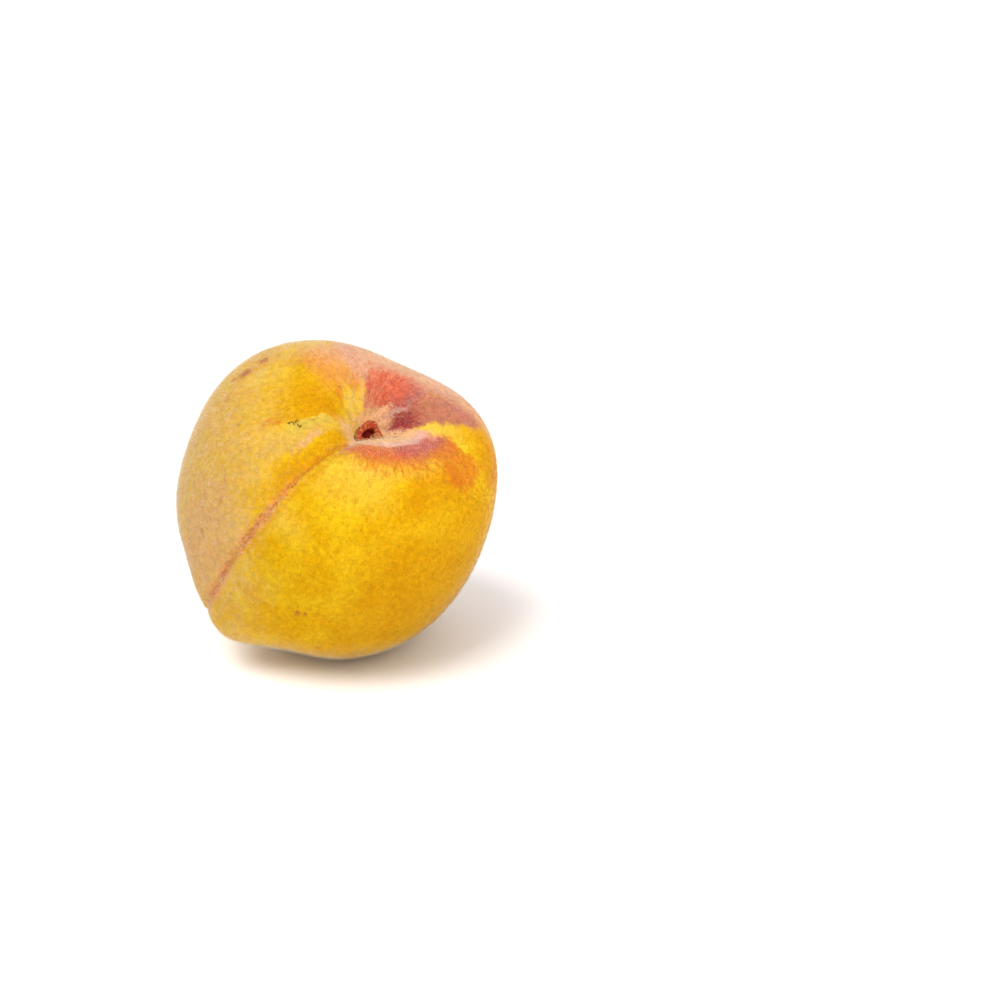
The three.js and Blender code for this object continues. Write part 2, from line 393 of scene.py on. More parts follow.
# %% Where the patches lie, in degrees
PATCHES = {  # share, polar angles, turns, softness of the polar edges and of the turn edges
    "coral": [(1, (5, 25.5), (-194, -134.5), (2, 4.5), (3.5, 5.5))],
    "apricot": [(1, (18, 36), (-132, -82), (3, 8), (4, 10)),
                (0.12, (12, 26), (-90, -62), (3, 6), (8, 9)),
                (0.45, (15.5, 19), (-122, -104), (1.5, 1.5), (5, 5))],
    "dusty": [(1, (21, 47), (-198, -120), (4, 14), (4, 12)),
              (0.9, (9, 24), (-200, -135), (3, 4), (4, 3)),
              (0.5, (27, 42), (-130, -96), (4, 8), (8, 12)),
              (0.75, (33, 64), (150, 190), (7, 12), (6, 12)),
              (0.4, (66, 118), (-30, 0), (12, 8), (10, 3)),
              (0.6, (25, 37), (-13, -7), (3, 5), (2.5, 2))],
    "sunny": [(1, (50, 112), (156, 236), (14, 18), (18, 24))],
    "streaky": [(0.75, (56, 128), (118, 268), (16, 18), (20, 25)),
                (0.5, (14.5, 18), (-92, -79), (1.5, 1.5), (2.5, 2.5)),
                (0.6, (35, 48), (99, 117), (3, 5), (5, 6)),
                (0.4, (35, 42), (-35, -30), (2, 3), (2, 2))],
    # painted highlight: a pale ridge beside the coral, where the down catches the light
    "crest": [(0.8, (11, 19), (-201, -194), (2, 4), (2.5, 2.5))],
    "cream": [(0.7, (9, 14), (-44, 24), (2, 4), (10, 10)),
              (0.9, (9, 17), (116, 139), (2, 3), (4, 2.5)),
              (0.45, (9, 19), (-133, -126), (2, 3), (3, 3)),
              (0.62, (16, 29), (118, 133), (4, 4), (6, 2.5))],
    "pale": [(0.9, (24, 39), (128, 141), (3, 9), (4, 3)),
             (0.8, (5, 11), (-110, -4), (2, 2.5), (16, 12)),
             (0.6, (14, 22), (-30, -10), (3, 4), (5, 3)),
             (0.6, (54, 64), (2, 18), (6, 6), (2, 8)),
             (0.9, (10.5, 15.5), (-125, -84), (1.5, 2), (4, 8)),
             (0.5, (29, 44), (10, 56), (4, 8), (5, 14)),
             (0.8, (24, 31), (-18, -13.5), (3, 3), (2, 2)),
             (0.6, (35, 47), (-27, -14), (3, 6), (4, 4))],
    "green": [(1, (17, 35), (-28.5, -18), (4, 4), (1.2, 3))],
    "amber": [(0.9, (14, 34), (-62, -29), (3, 9), (16, 1.5)),
              (0.5, (20, 34), (-88, -60), (5, 6), (6, 9)),
              (0.6, (17.5, 21), (-126, -98), (1.5, 2), (4, 6)),
              # painted shade: the lower part of the near cheek darkened to deep gold
              (0.75, (50, 112), (44, 110), (14, 18), (16, 26)),
              (0.8, (34, 47), (66, 104), (3, 5), (9, 8)),
              (0.7, (44, 64), (126, 148), (6, 8), (6, 6))],
    "specks": [(0.9, (9.5, 18), (98, 133), (2, 2.5), (8, 4))],
    # the haze: tan down, partly a painted sheen towards the left outline, where the down is seen at a
    # slant
    "haze": [(0.42, (50, 128), (-122, -6), (14, 14), (18, 5)),
             (0.36, (32, 60), (-110, -12), (7, 8), (18, 5)),
             (0.3, (62, 124), (-66, -2), (14, 10), (16, 3)),
             (0.3, (64, 112), (-84, -38), (10, 10), (14, 8)),
             (0.5, (18, 46), (-21, -9), (3, 6), (3, 3)),
             (0.38, (80, 126), (1, 19), (9, 10), (2, 8))],
    # the down is golden over these cheeks, which face the view; its paleness elsewhere is partly a
    # painted sheen
    "clean": [(1, (26, 112), (8, 142), (6, 14), (5, 9)),
              (1, (12, 40), (-84, 6), (3, 9), (10, 4))],
}

print("patches:", sum(len(patches) for patches in PATCHES.values()))

# %% Lines that the colours follow round the cavity
around, behind = turn_between(0, bent_turn), bent_turn % 360  # -180 to 180, and 0 to 360


def follow(*points):
    """A number that changes with the turn, through a few (turn, number) points."""
    turns, numbers = zip(*points)
    return np.interp(around, turns, numbers)


below_crest = bent_polar - follow((10, 16.8), (50, 17.2), (80, 19.4), (105, 22.0), (127, 25.6))
lip_end = 127 + 5 * window(31, 37, 2, 2, bent_polar) - 4 * rise(38, 44, bent_polar)
along_lip = window(12, lip_end, 8, 4.5, around)
# the cavity's shaded corner: maroon and dusky red there are red pigment darkened partly by painted shade
shade_edge = 130.5 + 11 * rise(19, 29, bent_polar) + 2.5 * rise(34, 42, bent_polar)
in_painted_shade = rise(-3, 4, turn_between(shade_edge, bent_turn))
print("the near lip ends between turns", lip_end.min().round(1), "and", lip_end.max().round(1))

# %% Red pigment: coral on the lit wall of the cavity, and maroon and dusky red in its shaded corner, darkened partly by painted shade
coral_start = 9 + 2.2 * rise(178, 196, behind)
coral = laid("coral") * (1 - 0.3 * rise(190, 225, behind))
coral *= rise(coral_start - 2.5, coral_start + 2.5, bent_polar)
maroon = window(13.2, 23, 3.4, 5, bent_polar) * in_painted_shade * (1 - rise(143, 172, behind))
beyond_rim = rise(23, 33, bent_polar)
dusky_end = 1 - rise(158 - 9 * beyond_rim, 190 - 14 * beyond_rim, behind)
dusky = together(
    window(11, 42, 3, 10, bent_polar) * in_painted_shade * dusky_end,
    0.8 * window(30, 50, 5, 6, bent_polar) * in_painted_shade * (1 - rise(147, 160, behind)))
tell(coral=coral, maroon=maroon, dusky=dusky)

# %% Rose, mauve and orange on the near lip, the crown and the far cheek
rose_reach = follow((15, 8.0), (60, 8.5), (90, 10), (110, 12.5), (127, 13))
lip_rose = (window(14, lip_end, 6, 5.5, around) * (1 - 0.35 * rise(70, 100, around))
            * window(0.4, rose_reach, 0.9, 3.4, below_crest))
lip_mauve = (window(70, lip_end, 16, 5, around)
             * window(-0.2, 0.62 * rose_reach, 1.2, 3.0, below_crest))
orange_reach = follow((15, 9), (40, 13.5), (72, 14), (95, 20), (127, 26))
orange_share = follow((15, 0.5), (35, 0.75), (60, 0.8), (80, 0.6), (94, 0.5), (103, 1.1))
lip_orange = orange_share * along_lip * window(2.5, orange_reach, 2, 6, below_crest)
apricot, dusty = together(laid("apricot")), together(laid("dusty"))
rose = together(0.78 * lip_rose, 0.8 * laid("sunny"))
suture = suture_mm(polar, turn, radius)
LINE_ASIDE, LINE_ASIDE_HIGH = 0.15, 0.75  # the pink line strays from the crease, most high up
stained = suture + LINE_ASIDE + LINE_ASIDE_HIGH * (1 - rise(28, 62, polar))
stain = window(-0.8, 0.7, 0.7, 0.6, stained) * window(28, 54, 6, 8, polar)
streaky = together(lip_orange, 0.42 * stain, 0.22 * apricot, laid("streaky"))
tell(lip_rose=lip_rose, lip_mauve=lip_mauve, lip_orange=lip_orange, streaky=streaky)

# %% Pale tissue, a painted highlight on the lip's crest, unripe green, deep gold with painted shade, and the dull left side with painted sheen
# painted highlight: a pale lilac line along the crest of the near lip, where the down catches the light
crest_end = 0.6 + rise(88, 104, around)
crest = together(along_lip * window(-2.4, crest_end, 1.2, 0.9, below_crest), laid("crest"))
cream_edge = 9.3 + 3.8 * window(112, 188, 6, 9, behind)
round_plug = 1 - rise(-2.4, 2.2, bent_polar - cream_edge)
cream = together(round_plug * (1 - 0.62 * window(-122, -5, 10, 14, around)),
                 0.95 * along_lip * window(-13, 0.1, 2, 0.8, below_crest), laid("cream"))
pale = together(0.45 * window(24, 112, 6, 6, around) * window(7, 15, 2, 3, below_crest),
                laid("pale"))
green = laid("green")
# deep gold; the band on the far side of the suture's crease is painted shade, where that side dips into
# it
amber = together(0.8 * window(-4.4, -0.2, 2.2, 0.3, suture) * window(16, 56, 4, 10, polar),
                 0.6 * window(0.9, 2.4, 0.3, 0.8, suture) * window(34, 80, 5, 12, polar),
                 laid("amber"))
beside_plug = off_plug(place) - PLUG_RADIUS
specks = (polar < STEM_SIDE) * together(
    window(0, 0.5, 0.2, 0.3, beside_plug) * window(-110, 125, 10, 10, turn), laid("specks"))
haze = together(0.5 * window(120, 172, 12, 8, bent_polar), laid("haze"))
tell(crest=crest, cream=cream, pale=pale, green=green, amber=amber, specks=specks, haze=haze)

# %% Sums of them, and all of it kept on the skin
veiled = together(maroon, dusky, coral, dusty, lip_mauve, cream, crest)
# how pale the down is: over the blush, the pale tissue and the haze, and away from the cheeks that face
# the view, partly a painted sheen
frost_and_sheen = together(1 - together(laid("clean")), 0.35 * haze, 0.8 * veiled)
reds = together(coral, maroon, dusky, 0.8 * lip_mauve, 0.7 * lip_rose, 0.5 * dusty)
fields = dict(coral=coral, maroon=maroon, dusky=dusky, mauve=lip_mauve, rose=rose, dusty=dusty,
              apricot=apricot, streaky=streaky, cream=cream, pale=pale, green=green, amber=amber,
              haze=haze, crest=crest, reds=reds, stained=stained, specks=specks,
              marked=between((40, 58), (108, 124), polar))
for name, values in fields.items():
    keep(skin, name, values)
    print(f"{name}: most {values.max():.2f}, mean {values.mean():.3f}")
STREAK_ROUND, STREAK_DOWN = 22, 0.3  # streaks are short round the fruit and long down it
keep(skin, "streak", np.stack([STREAK_ROUND * np.cos(np.radians(turn)),
                               STREAK_ROUND * np.sin(np.radians(turn)), STREAK_DOWN * polar], -1))

# %% A chart for baking
i, j = np.divmod(np.arange(len(quads)), COLUMNS)
ring = np.arange(COLUMNS)
top_row = np.stack([0 * ring, 0 * ring + 1, 0 * ring + 1], -1).ravel()
bottom_row = ROWS - 1 + np.stack([0 * ring, 0 * ring + 1, 0 * ring], -1).ravel()
chart_row = np.concatenate([np.stack([i + 1, i + 2, i + 2, i + 1], -1).ravel(), top_row, bottom_row])
chart_column = np.concatenate([np.stack([j, j, j + 1, j + 1], -1).ravel(),
                               np.stack([ring + 0.5, ring, ring + 1], -1).ravel(),
                               np.stack([ring, ring + 0.5, ring + 1], -1).ravel()])
chart(skin, np.stack([chart_column / COLUMNS, 1 - chart_row / ROWS], -1))
print("chart:", len(chart_row), "corners")

# %% [markdown]
# ## Building materials
#
# A material here is a chain of nodes. A small helper adds a node, sets it and links it in one line,
# so that each material reads from top to bottom. Effects that come back in several materials are
# node groups: broad mottling, a speckled edge that turns a soft mask into grains of colour, a ragged
# spot, and the fine light and dark of a velvety surface.

# %% A helper that adds nodes
def srgb(red, green, blue):
    """A colour as a screen shows it, 0 to 255, as the linear colour that a shader takes."""
    shares = np.array([red, green, blue]) / 255
    linear = np.where(shares <= 0.04045, shares / 12.92, ((shares + 0.055) / 1.055) ** 2.4)
    return (*(float(x) for x in linear), 1.0)


class Bench:
    """Adds nodes to one tree. A value given for a socket is set, and a socket is linked."""

    def __init__(self, tree):
        self.tree = tree
        tree.nodes.clear()

    def feed(self, socket, value):
        if isinstance(value, bpy.types.NodeSocket):
            self.tree.links.new(value, socket)
        else:
            socket.default_value = value

    def fill(self, node, **sockets):
        """Feeds sockets by name, with an underscore for a space."""
        for name, value in sockets.items():
            self.feed(node.inputs[name.replace("_", " ")], value)

    def add(self, kind, settings=None, **sockets):
        node = self.tree.nodes.new(kind)
        for name, value in (settings or {}).items():
            setattr(node, name, value)
        self.fill(node, **sockets)
        return node

    def math(self, operation, first, second=0.0, third=0.0, clamp=False):
        node = self.add("ShaderNodeMath", {"operation": operation, "use_clamp": clamp})
        for socket, value in zip(node.inputs, (first, second, third)):
            self.feed(socket, value)
        return node.outputs[0]

    def times(self, first, second):
        return self.math("MULTIPLY", first, second)

    def scaled(self, value, gain, start, clamp=False):
        """Value times gain, plus start."""
        return self.math("MULTIPLY_ADD", value, gain, start, clamp)

    def outside(self, mask):
        """1 where the mask is 0, and 0 where it is 1."""
        return self.math("SUBTRACT", 1.0, mask)

    def mix(self, share, first, second, blend="MIX"):
        """The first colour, and the second one by a share. Mix has its colours in sockets 6 and 7."""
        node = self.add("ShaderNodeMix", {"data_type": "RGBA", "blend_type": blend})
        for number, value in ((0, share), (6, first), (7, second)):
            self.feed(node.inputs[number], value)
        return node.outputs[2]

    def coat(self, under, mask, share, over):
        """A colour over another one, where a mask shows it and up to a share."""
        return self.mix(self.times(mask, share), under, over)

    def noise(self, at, scale, detail=2.0, roughness=0.5):
        return self.add("ShaderNodeTexNoise", None, Vector=at, Scale=scale, Detail=detail,
                        Roughness=roughness).outputs["Fac"]

    def swing(self, at, scale, detail, roughness):
        """Noise about 0."""
        return self.math("SUBTRACT", self.noise(at, scale, detail, roughness), 0.5)

    def step(self, value, low, high):
        """0 below low, 1 above high, and smooth between."""
        return self.add("ShaderNodeMapRange", {"interpolation_type": "SMOOTHSTEP"}, Value=value,
                        From_Min=low, From_Max=high).outputs[0]

    def dots(self, at, spacing, core, edge, few=None):
        """Round dots in cells of that spacing. Few is the step in a cell's own number that thins them."""
        cells = self.add("ShaderNodeTexVoronoi", None, Vector=at, Scale=1 / spacing)
        dots = self.outside(self.step(cells.outputs["Distance"], core, edge))
        return self.times(dots, self.step(cells.outputs["Color"], *few)) if few else dots

    def bump(self, height, strength, depth):
        """Normals for a height, for which 1 stands for a depth in millimetres."""
        return self.add("ShaderNodeBump", None, Height=height, Strength=strength,
                        Distance=depth * MM).outputs[0]

    def kept(self, name, output="Fac"):
        """A number kept on the mesh, or a vector."""
        return self.add("ShaderNodeAttribute", {"attribute_name": name}).outputs[output]

    def group(self, tree, **sockets):
        return self.add("ShaderNodeGroup", {"node_tree": tree}, **sockets).outputs[0]


print("a screen's middle grey is", round(srgb(128, 128, 128)[0], 3), "to a shader")

# %% Node groups that the materials share
def new_group(name, inputs, output):
    """An empty node group, its bench, its named inputs and the socket that its result goes to. inputs
    holds name: default, and a default of None makes a vector."""
    tree = bpy.data.node_groups.new(name, "ShaderNodeTree")
    for label, default in inputs.items():
        kind = "NodeSocketVector" if default is None else "NodeSocketFloat"
        socket = tree.interface.new_socket(label, in_out="INPUT", socket_type=kind)
        if default is not None:
            socket.default_value = default
    tree.interface.new_socket(output, in_out="OUTPUT", socket_type="NodeSocketFloat")
    bench = Bench(tree)
    entry, leave = tree.nodes.new("NodeGroupInput"), tree.nodes.new("NodeGroupOutput")
    return tree, bench, entry.outputs, leave.inputs[0]


MOTTLE_SOFTNESS = 0.13


def make_mottle():
    """Soft clouds of 0 to 1, Size millimetres across. Bias moves their balance."""
    tree, bench, given, result = new_group("Mottle", {"Place": None, "Size": 5.0, "Bias": 0.5}, "Mask")
    cloud = bench.noise(given["Place"], bench.math("DIVIDE", 1.0, given["Size"]), 3.0, 0.55)
    low = bench.math("SUBTRACT", given["Bias"], MOTTLE_SOFTNESS)
    high = bench.math("ADD", given["Bias"], MOTTLE_SOFTNESS)
    bench.feed(result, bench.step(cloud, low, high))
    return tree


def make_speckle():
    """A soft mask broken into grains: more Break up gives a wider, sparser edge."""
    tree, bench, given, result = new_group(
        "Speckle", {"Mask": 0.0, "Place": None, "Grain": 0.5, "Break up": 1.2, "Sharpness": 2.5}, "Mask")
    grain = bench.swing(given["Place"], bench.math("DIVIDE", 1.0, given["Grain"]), 3.0, 0.65)
    shaken = bench.scaled(grain, given["Break up"], bench.math("SUBTRACT", given["Mask"], 0.5))
    spread = bench.scaled(shaken, given["Sharpness"], 0.5, clamp=True)
    bench.feed(result, bench.times(spread, bench.step(given["Mask"], 0.0, 0.12)))
    return tree


def make_spot():
    """A ragged round mark of Radius millimetres, at Centre in the fruit's frame."""
    tree, bench, given, result = new_group(
        "Spot", {"Place": None, "Centre": None, "Radius": 0.5, "Raggedness": 0.5}, "Mask")
    away = bench.add("ShaderNodeVectorMath", {"operation": "DISTANCE"})
    bench.feed(away.inputs[0], given["Place"])
    bench.feed(away.inputs[1], given["Centre"])
    share = bench.math("DIVIDE", away.outputs["Value"], given["Radius"])
    rough = bench.swing(given["Place"], 2.2, 3.0, 0.6)
    edge = bench.scaled(rough, bench.times(given["Raggedness"], 2.0), share)
    bench.feed(result, bench.outside(bench.step(edge, 0.45, 1.1)))
    return tree


def make_velvet():
    """Brightness about 1, in grains of Size millimetres and of three times that. Depth is how much."""
    tree, bench, given, result = new_group("Velvet", {"Place": None, "Size": 0.4, "Depth": 0.3}, "Shade")
    scale = bench.math("DIVIDE", 1.0, given["Size"])
    fine = bench.swing(given["Place"], scale, 2.0, 0.7)
    broad = bench.swing(given["Place"], bench.times(scale, 0.3), 2.0, 0.6)
    bench.feed(result, bench.scaled(bench.scaled(broad, 0.7, fine), given["Depth"], 1.0))
    return tree


MOTTLE, SPECKLE, SPOT, VELVET = make_mottle(), make_speckle(), make_spot(), make_velvet()
print("node groups:", [tree.name for tree in (MOTTLE, SPECKLE, SPOT, VELVET)])

# %% Short ways to place them, and an empty material
def mottled(bench, at, size, bias=0.5):
    return bench.group(MOTTLE, Place=at, Size=size, Bias=bias)


def grains(bench, at, mask, grain, break_up, sharpness):
    """A mask broken into grains of that size, in millimetres."""
    return bench.group(SPECKLE, Mask=mask, Place=at, Grain=grain, Break_up=break_up,
                       Sharpness=sharpness)


def new_material(name):
    """A material with its bench and its Principled shader."""
    material = bpy.data.materials.new(name)
    material.use_nodes = True
    bench = Bench(material.node_tree)
    surface = bench.add("ShaderNodeBsdfPrincipled")
    output = bench.add("ShaderNodeOutputMaterial")
    bench.feed(output.inputs["Surface"], surface.outputs[0])
    return material, bench, surface

# %% [markdown]
# ## The skin's colours
#
# Under the down a ripe yellow peach is golden, duller and more tan where the down lies thick, and
# greener where it never ripened. Towards the left outline that tan is partly a painted sheen of down
# seen at a slant. Red pigment sits in single cells, so blush starts as specks that crowd together,
# run along the fruit's length as streaks, and close up to coral, rose or, in the shade of the cavity,
# a dusky maroon that is partly painted shade. Deep gold beside the suture and low on the near cheek
# is partly painted shade as well. The layers below follow that order, from flesh to blush.

# %% Ground colours
GOLD, DEEP_GOLD, AMBER = srgb(206, 164, 14), srgb(197, 146, 0), srgb(188, 127, 0)
LIGHT_GOLD, PALE_GOLD, TAN = srgb(216, 180, 20), srgb(210, 176, 66), srgb(193, 158, 70)
PINK_TAN, OCHRE, RUST = srgb(198, 155, 86), srgb(184, 134, 36), srgb(170, 102, 48)
# the lilac is a painted highlight on the crest of the near lip
GREEN_YELLOW, CREAM, HIGHLIGHT_LILAC = srgb(190, 162, 68), srgb(213, 162, 122), srgb(196, 150, 138)
APRICOT, STREAK_RED = srgb(198, 131, 62), srgb(189, 91, 27)
ROSE, CORAL = srgb(178, 76, 52), srgb(184, 75, 46)
# maroon and dusky are red pigment darkened partly by painted shade of the cavity's corner
MAROON, DUSKY, MAUVE = srgb(136, 42, 46), srgb(158, 84, 78), srgb(160, 74, 72)
DUSTY_PINK, FRECKLE, SUTURE_PINK = srgb(191, 141, 120), srgb(150, 58, 34), srgb(210, 132, 80)
SCAR_BROWN, SCAB_BROWN, GRIT_BROWN = srgb(155, 77, 43), srgb(48, 24, 10), srgb(92, 46, 22)
TUFT_PINK = srgb(206, 168, 150)

skin_material, bench, surface = new_material("downy_skin")
at, streak_at = bench.kept("place", "Vector"), bench.kept("streak", "Vector")


def so_far(step):
    print(f"{step}: {len(skin_material.node_tree.nodes)} nodes so far")


def layers(bench, at, under, pigments):
    """Pigments over the colours so far, each where its mask on the skin shows it, in grains."""
    for mask, share, over, grain, break_up, sharpness in pigments:
        shown = grains(bench, at, bench.kept(mask), grain, break_up, sharpness)
        under = bench.coat(under, shown, share, over)
    return under


# colours of the haze: tan down, partly a painted sheen towards the left outline
hazed = bench.mix(mottled(bench, at, 6.5), TAN, PINK_TAN)
hazed = bench.coat(hazed, mottled(bench, at, 1.2, 0.54), 0.6, OCHRE)
hazed = bench.coat(hazed, mottled(bench, streak_at, 1.0, 0.62), 0.4, RUST)
colour = bench.mix(mottled(bench, at, 9.0), GOLD, DEEP_GOLD)
colour = bench.coat(colour, mottled(bench, at, 1.3, 0.56), 0.28, LIGHT_GOLD)
colour = layers(bench, at, colour, [  # mask, share, colour, grain in mm, how broken up, how sharp
    ("pale", 0.85, PALE_GOLD, 1.6, 0.6, 1.1),
    ("haze", 0.95, hazed, 2.6, 1.3, 1.1),
    ("green", 0.85, GREEN_YELLOW, 1.6, 0.6, 1.2),
    # deep gold, partly painted shade beside the suture and low on the near cheek
    ("amber", 0.8, AMBER, 1.4, 0.7, 1.1),
    ("apricot", 0.8, APRICOT, 1.8, 1.0, 1.0),
    ("dusty", 0.85, DUSTY_PINK, 1.0, 0.9, 1.1),
])
so_far("ground")

# %% Blush, from loose specks to closed maroon
colour = layers(bench, streak_at, colour, [("streaky", 0.75, STREAK_RED, 0.75, 2.3, 1.35)])
loose = bench.dots(at, spacing=1.15, core=0.14, edge=0.34, few=(0.4, 0.62))
loose = bench.times(loose, bench.step(bench.kept("streaky"), 0.12, 0.6))
colour = bench.coat(colour, loose, 0.55, FRECKLE)
colour = layers(bench, streak_at, colour, [
    ("rose", 0.85, ROSE, 0.6, 1.3, 1.3),
    ("mauve", 0.85, MAUVE, 0.6, 1.1, 1.2),
    ("coral", 0.92, CORAL, 0.9, 1.7, 1.2),
    # dusky and maroon: red pigment, partly painted shade of the cavity's corner
    ("dusky", 0.85, DUSKY, 0.6, 1.1, 1.2),
    ("maroon", 0.92, MAROON, 0.6, 1.9, 1.4),
])
so_far("blush")

# %% Pale tissue over it, then painted highlights where the down catches the light: along its border over the blush, and on the near lip's crest
colour = layers(bench, at, colour, [("cream", 0.92, CREAM, 0.45, 2.3, 1.2)])
# painted highlight: pale down catching the light along the edge of the pale tissue, over the blush
border = bench.times(bench.kept("cream"), bench.outside(bench.kept("cream")))
frosted_highlight = bench.times(bench.step(border, 0.03, 0.16), bench.kept("reds"))
colour = bench.coat(colour, bench.times(mottled(bench, at, 0.5, 0.57), frosted_highlight), 0.85, CREAM)
# painted highlight in lilac along the near lip's crest
colour = layers(bench, at, colour, [("crest", 0.8, HIGHLIGHT_LILAC, 0.5, 0.7, 1.1)])
so_far("pale tissue")

# %% [markdown]
# ## The suture's line, scars and scab
#
# The suture is stained salmon pink, with dark freckles in a broken row. Leaves and twigs have rubbed
# small brown scars into the skin, and a scab of dark specks sits in a valley beside the stalk. Marks
# like these could be painted, but each one here is placed by a polar angle and a turn. The line
# follows the distance from the suture that is kept on the skin, so it keeps to the crease all the
# way down and strays from it by less than a millimetre.

# %% The suture's line and its freckles
from_suture = bench.math("ABSOLUTE", bench.kept("stained"))
line = bench.scaled(bench.swing(at, 1 / 2.2, 2.0, 0.6), 3.4, from_suture)
line = bench.times(bench.outside(bench.step(line, 0.1, 2.2)), bench.kept("marked"))
strength = bench.step(bench.noise(at, 1 / 7.0, 1.0, 0.5), 0.36, 0.6)
salmon = bench.scaled(strength, 0.35, 0.3)
colour = bench.coat(colour, grains(bench, at, line, 0.6, 2.8, 1.9), salmon, SUTURE_PINK)
core = bench.times(line, bench.outside(bench.step(from_suture, 0.4, 1.7)))
freckled = grains(bench, at, bench.times(core, 0.48), 0.5, 4.0, 3.4)
colour = bench.coat(colour, freckled, bench.scaled(strength, 0.35, 0.25), FRECKLE)
dots = bench.dots(at, spacing=1.0, core=0.12, edge=0.3)
dots = bench.times(dots, bench.step(core, 0.03, 0.3))
colour = bench.coat(colour, dots, 0.8, FRECKLE)
so_far("suture")

# %% Small scars, the scab and the cavity's grit
SCAR_HALO, HALO_SHARE = 1.7, 0.4  # a paler stain round each scar
HALO_RAGGED, SCAR_RAGGED, SCAB_RAGGED = 1.7, 1.1, 1.3


def on_skin_at(at_polar, at_turn):
    """The place of one direction on the finished skin."""
    p, t = np.array([float(at_polar)]), np.array([float(at_turn)])
    return pressed(p, t, skin_radius(p, t))[0] * direction(p, t)[0]


def mark(under, at_polar, at_turn, size, share, over, raggedness):
    spot = bench.group(SPOT, Place=at, Centre=tuple(on_skin_at(at_polar, at_turn)), Radius=size,
                       Raggedness=raggedness)
    return bench.coat(under, spot, share, over)


for at_polar, at_turn, size, darkness in SMALL_SCARS:
    colour = mark(colour, at_polar, at_turn, SCAR_HALO * size, HALO_SHARE * darkness, SCAR_BROWN,
                  HALO_RAGGED)
    colour = mark(colour, at_polar, at_turn, size, darkness, SCAR_BROWN, SCAR_RAGGED)
SCAB_SPECKS = [  # from the scab's middle down the wall and aside, in degrees, radius, how dark
    (1.9, -1.7, 0.42, 0.9), (1.0, -1.9, 0.34, 0.7), (0.5, -0.9, 0.42, 0.6), (-0.4, -1.2, 0.36, 0.8),
    (-1.2, -1.9, 0.34, 0.9), (-1.5, -0.8, 0.26, 0.5), (0.3, 0.4, 0.30, 0.45), (-0.7, 1.4, 0.34, 0.6),
    (-1.2, 2.9, 0.50, 0.75), (-2.0, 1.9, 0.26, 0.5), (-7.2, -0.3, 0.34, 0.4), (-6.4, -0.9, 0.30, 0.35),
    (-5.4, -1.2, 0.22, 0.3),
]
for down_wall, aside, size, darkness in SCAB_SPECKS:
    colour = mark(colour, SCAB[0] + down_wall, SCAB[1] + aside, size, darkness, SCAB_BROWN,
                  SCAB_RAGGED)
grit = bench.dots(at, spacing=0.62, core=0.26, edge=0.44, few=(0.3, 0.4))
colour = bench.coat(colour, bench.times(grit, bench.kept("specks")), 0.9, GRIT_BROWN)
so_far("marks")

# %% [markdown]
# ## Velvet, shine and relief
#
# Down scatters light in fine grains, so the skin looks like velvet: dull, a little brighter where it
# turns away, and rough up close, with pale tufts over the blush. A gloss coat would make a nectarine
# of it. Sheen and a low specular level give the velvet, a little light passes under the surface as
# in any fruit, and bump adds the grain that the mesh is too coarse to hold.

# %% Pores, velvet and tufts
red_here = bench.kept("reds")
pores = bench.dots(at, spacing=1.9, core=0.05, edge=0.16)
brown_pores = bench.dots(at, spacing=1.9, core=0.05, edge=0.16, few=(0.45, 0.7))
colour = bench.coat(colour, brown_pores, 0.25, SCAR_BROWN)
shade = bench.group(VELVET, Place=at, Size=0.38, Depth=bench.scaled(red_here, 0.35, 0.85))
shade_colour = bench.add("ShaderNodeCombineColor", None, Red=shade, Green=shade, Blue=shade)
colour = bench.mix(1.0, colour, shade_colour.outputs[0], "MULTIPLY")
tufts = bench.step(bench.noise(at, 1 / 0.5, 2.0, 0.6), 0.54, 0.7)
colour = bench.coat(colour, tufts, bench.times(red_here, 0.22), TUFT_PINK)
so_far("velvet")

# %% The skin's shine, depth and bump
grainy = bench.times(bench.noise(at, 1 / 0.22, 2.0, 0.6), 0.6)
bumpy = bench.times(bench.noise(at, 1 / 0.8, 2.0, 0.5), 0.7)
sunk = bench.times(bench.math("ADD", dots, pores), 0.5)
relief = bench.math("SUBTRACT", bench.math("ADD", grainy, bumpy), sunk)
bench.fill(surface, Base_Color=colour, Normal=bench.bump(relief, 0.6, 0.045),
           Roughness=bench.scaled(bench.noise(at, 1 / 0.42, 3.0, 0.65), 0.2, 0.58),
           Specular_IOR_Level=0.04, Subsurface_Weight=0.15, Subsurface_Scale=1.6 * MM,
           Subsurface_Radius=(1.0, 0.45, 0.12), Sheen_Weight=0.7, Sheen_Roughness=0.22,
           Sheen_Tint=srgb(255, 236, 214))
skin.data.materials.append(skin_material)
print(skin_material.name, "has", len(skin_material.node_tree.nodes), "nodes")

# %% [markdown]
# ## The down
#
# Peach down is a dense coat of short, pale, stiff hairs that mostly lie towards the blossom tip. A
# sheen in the shader gives some of its glow, but not the fringe of light on the outline. Hair
# curves or particles would, yet they don't survive as plain meshes, so each hair is a real needle
# here: a three-sided spike of four faces, with its root sunk in the skin. Hairs are shared out by
# the area of the skin's triangles, so they stand evenly, and none grows on the flat spot or on the
# plug. Several pieces share them, to keep each one light.

# %% Where the hairs stand
DOWN_PIECES, HAIRS_A_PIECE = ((4, 47500))
HAIR_LENGTH, HAIR_RADIUS, ROOT_SINK = (0.22, 0.85), 0.0165, 0.025
HAIR_LEAN, HAIR_STRAY = (5, 52), 0.75
BARE_ROUND_STEM, BARE_ABOVE_FLOOR = 3.4, 0.35
SPARE_PLACES = 1.04  # more places than hairs, since those on bare skin are dropped
DOWN_LIFT = 0.02  # the table presses the lowest hairs flat, this far above it

